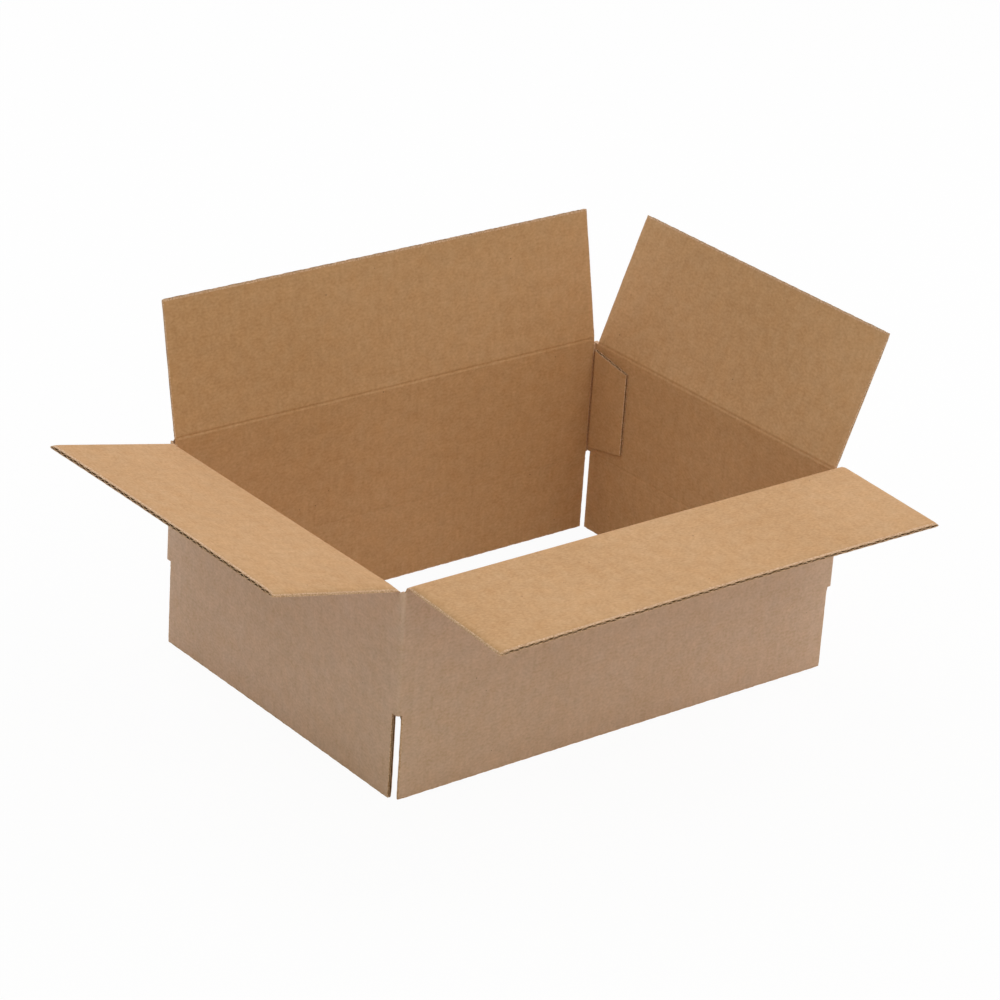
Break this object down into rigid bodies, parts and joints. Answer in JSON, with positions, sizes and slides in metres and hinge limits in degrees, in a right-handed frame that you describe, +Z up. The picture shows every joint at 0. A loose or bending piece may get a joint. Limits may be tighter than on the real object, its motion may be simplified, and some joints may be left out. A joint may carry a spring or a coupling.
{
  "type": "open cardboard box",
  "caption": "Open corrugated cardboard carton: a folded sleeve with a glued corner tab, and hinged flaps at top and bottom.",
  "frame": {"origin": "on the floor, under the centre of the bounding box at rest", "axes": "+X along the long walls, +Y into the depth from the front wall to the back wall, +Z up"},
  "size_m": [0.4226, 0.3196, 0.2049],
  "materials": {
    "kraft_board": "matt brown kraft paper, fluted inside"
  },
  "bodies": {
    "sleeve": {"sleeve": "kraft_board"},
    "front_top_flap": {"front_top_flap": "kraft_board"},
    "front_bottom_flap": {"front_bottom_flap": "kraft_board"},
    "right_top_flap": {"right_top_flap": "kraft_board"},
    "right_bottom_flap": {"right_bottom_flap": "kraft_board"},
    "back_top_flap": {"back_top_flap": "kraft_board"},
    "back_bottom_flap": {"back_bottom_flap": "kraft_board"},
    "left_top_flap": {"left_top_flap": "kraft_board"},
    "left_bottom_flap": {"left_bottom_flap": "kraft_board"}
  },
  "joints": [
    {"name": "front_top_fold", "type": "hinge", "parent": "sleeve", "child": "front_top_flap", "pos_m": [0.02514, -0.07979, 0.126], "axis": [-1, 0, 0], "range_deg": [-32, 183]},
    {"name": "front_bottom_fold", "type": "hinge", "parent": "sleeve", "child": "front_bottom_flap", "pos_m": [0.02514, -0.07979, 0.048], "axis": [1, 0, 0], "range_deg": [-90, 90]},
    {"name": "right_top_fold", "type": "hinge", "parent": "sleeve", "child": "right_top_flap", "pos_m": [0.18014, 0.03171, 0.1227], "axis": [0, -1, 0], "range_deg": [-103, 112]},
    {"name": "right_bottom_fold", "type": "hinge", "parent": "sleeve", "child": "right_bottom_flap", "pos_m": [0.18014, 0.03171, 0.0513], "axis": [0, 1, 0], "range_deg": [-90, 90]},
    {"name": "back_top_fold", "type": "hinge", "parent": "sleeve", "child": "back_top_flap", "pos_m": [0.02514, 0.14321, 0.126], "axis": [1, 0, 0], "range_deg": [-113, 102]},
    {"name": "back_bottom_fold", "type": "hinge", "parent": "sleeve", "child": "back_bottom_flap", "pos_m": [0.02514, 0.14321, 0.048], "axis": [-1, 0, 0], "range_deg": [-90, 90]},
    {"name": "left_top_fold", "type": "hinge", "parent": "sleeve", "child": "left_top_flap", "pos_m": [-0.12986, 0.03171, 0.1227], "axis": [0, 1, 0], "range_deg": [-47, 168]},
    {"name": "left_bottom_fold", "type": "hinge", "parent": "sleeve", "child": "left_bottom_flap", "pos_m": [-0.12986, 0.03171, 0.0513], "axis": [0, -1, 0], "range_deg": [-90, 90]}
  ]
}
